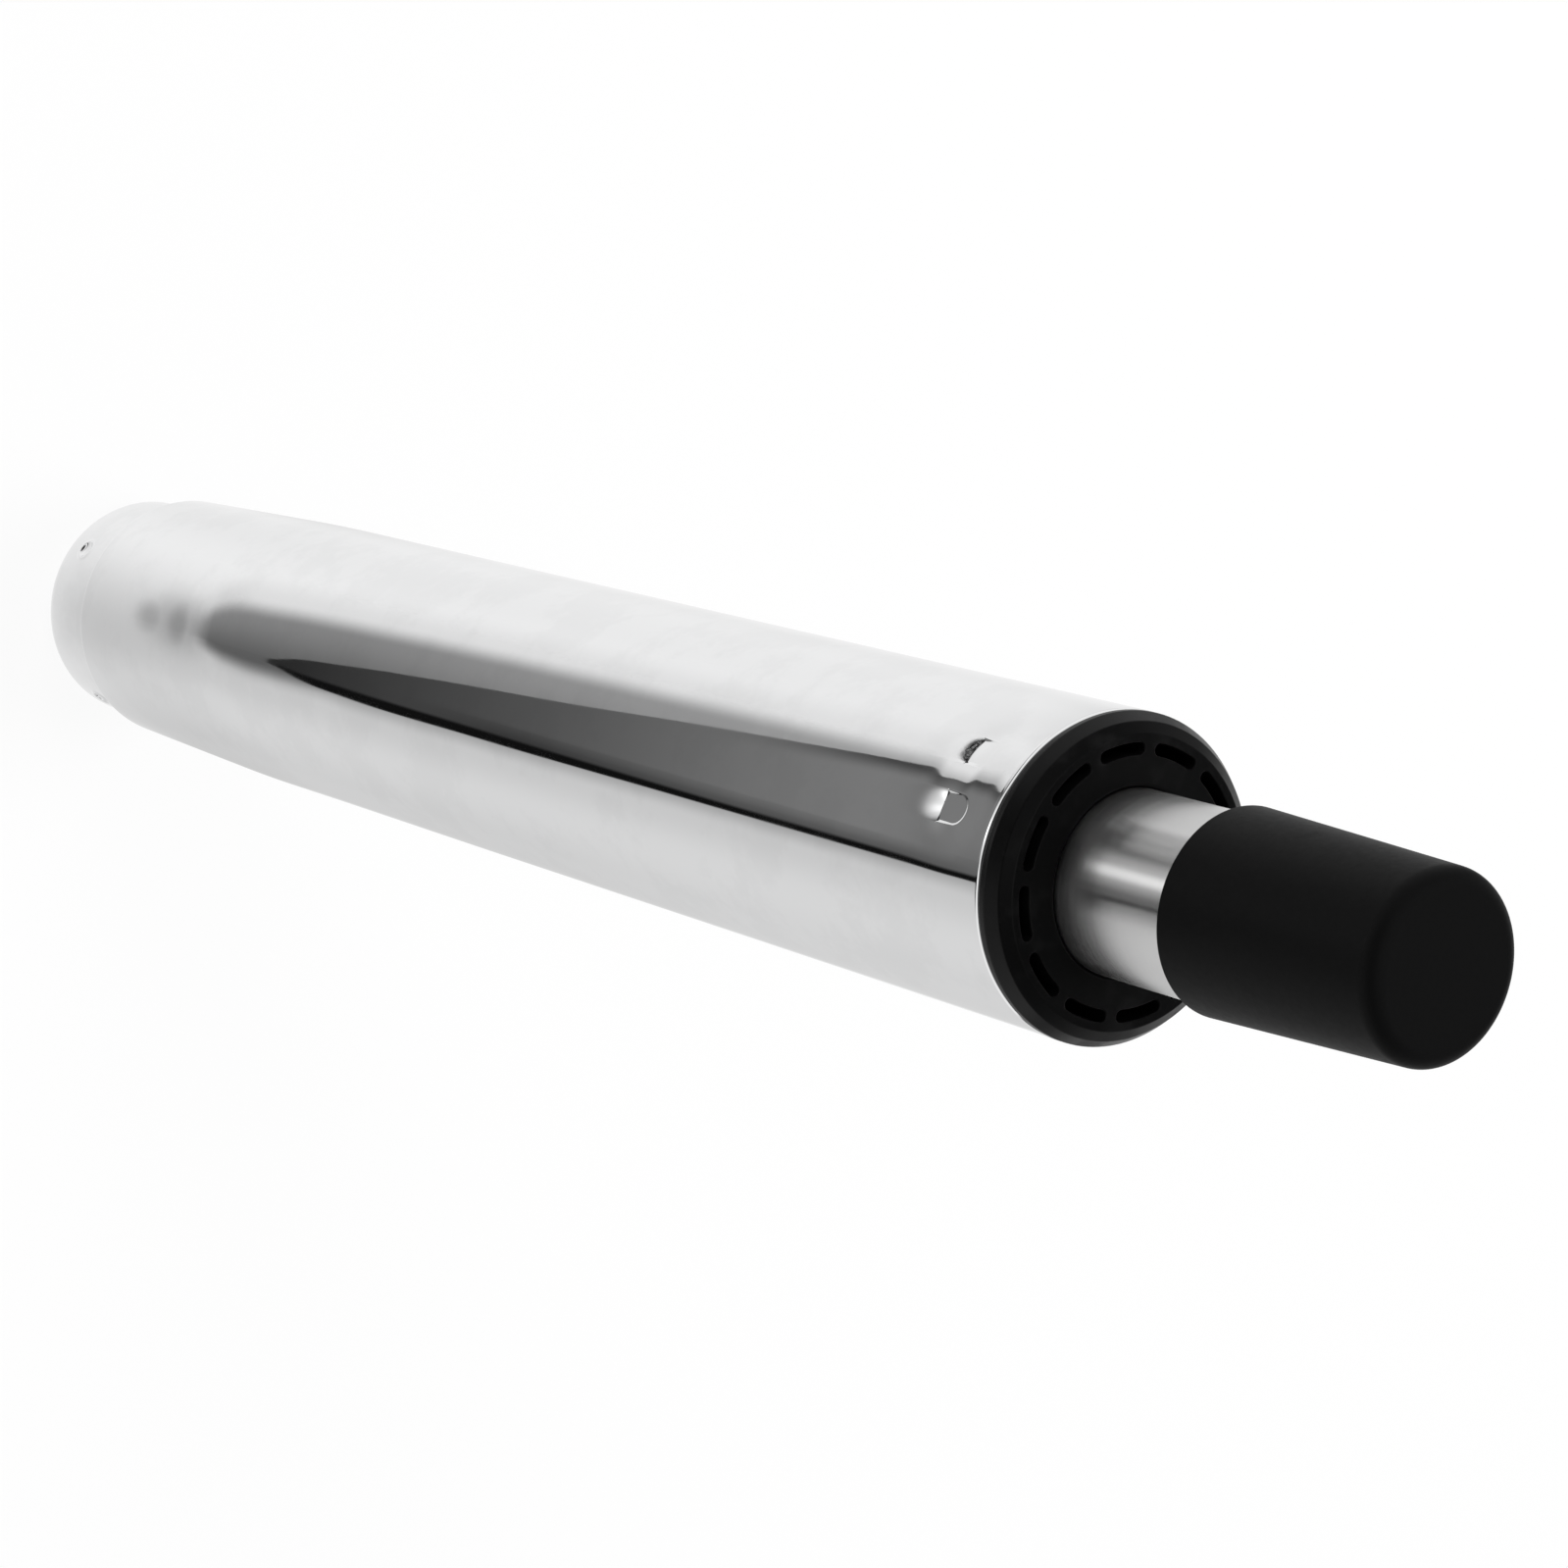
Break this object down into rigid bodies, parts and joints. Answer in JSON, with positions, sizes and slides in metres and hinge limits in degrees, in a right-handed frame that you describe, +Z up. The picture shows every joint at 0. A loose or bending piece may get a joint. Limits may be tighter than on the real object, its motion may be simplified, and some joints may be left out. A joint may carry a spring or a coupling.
{
  "type": "chair gas lift cylinder",
  "caption": "Chromed column with a locking taper at its foot and a satin gas spring spindle that slides and turns in a black guide bush, its top cone under a slip-on cap.",
  "frame": {"origin": "centre of the column's lower rim, on the surface that it stands on", "axes": "+Z up along the column's axis, towards the cap; the arc slots lie at multiples of 30 degrees from +X"},
  "size_m": [0.05, 0.05, 0.3766],
  "materials": {
    "chrome_tube": "bright chrome plate over polished steel",
    "bush_nylon": "black moulded nylon, fine satin",
    "ground_steel": "ground round the axis, satin",
    "cap_pvc": "black soft plastic, matt",
    "pressed_steel": "zinc plated pressing",
    "bearing_steel": "hardened and polished",
    "cage_brass": "pressed brass",
    "rod_steel": "hard chrome, polished",
    "spring_steel": "black oxide spring steel",
    "rubber": "black nitrile rubber",
    "aluminium": "turned aluminium",
    "valve_brass": "turned brass",
    "button_steel": "zinc plated, turned"
  },
  "bodies": {
    "column": {"outer_tube": "chrome_tube", "guide_bush": "bush_nylon", "base_plate": "pressed_steel", "lower_race": "bearing_steel"},
    "ball_ring": {"ball_cage": "cage_brass", "bearing_balls": "bearing_steel"},
    "rod_set": {"upper_race": "bearing_steel", "piston_rod": "rod_steel", "clip_washer": "pressed_steel", "retaining_clip": "spring_steel", "rubber_buffer": "rubber", "piston": "valve_brass", "piston_ring": "rubber", "piston_nut": "pressed_steel"},
    "gas_spindle": {"spindle": "ground_steel", "cylinder_liner": "rod_steel", "rod_guide": "aluminium", "rod_seal": "rubber", "seal_washer": "pressed_steel", "valve_body": "valve_brass", "valve_rings": "rubber", "pin_rings": "rubber"},
    "release": {"valve_pin": "bearing_steel", "release_button": "button_steel"},
    "cap": {"protective_cap": "cap_pvc"}
  },
  "joints": [
    {"name": "swivel", "type": "hinge", "parent": "column", "child": "rod_set", "pos_m": [0, 0, 0.0171], "axis": [0, 0, 1], "continuous": true},
    {"name": "ball_roll", "type": "hinge", "parent": "column", "child": "ball_ring", "pos_m": [0, 0, 0.0171], "axis": [0, 0, 1], "continuous": true},
    {"name": "lift", "type": "slide", "parent": "rod_set", "child": "gas_spindle", "axis": [0, 0, 1], "range_m": [0, 0.14]},
    {"name": "release_press", "type": "slide", "parent": "gas_spindle", "child": "release", "axis": [0, 0, -1], "range_m": [0, 0.004], "stiffness_N_per_m": 1500, "springref_m": -0.01},
    {"name": "cap_pull", "type": "slide", "parent": "gas_spindle", "child": "cap", "axis": [0, 0, 1], "range_m": [0, 0.06]}
  ],
  "couplings": [
    {"joint": "ball_roll", "follows": "swivel", "ratio": 0.5}
  ]
}
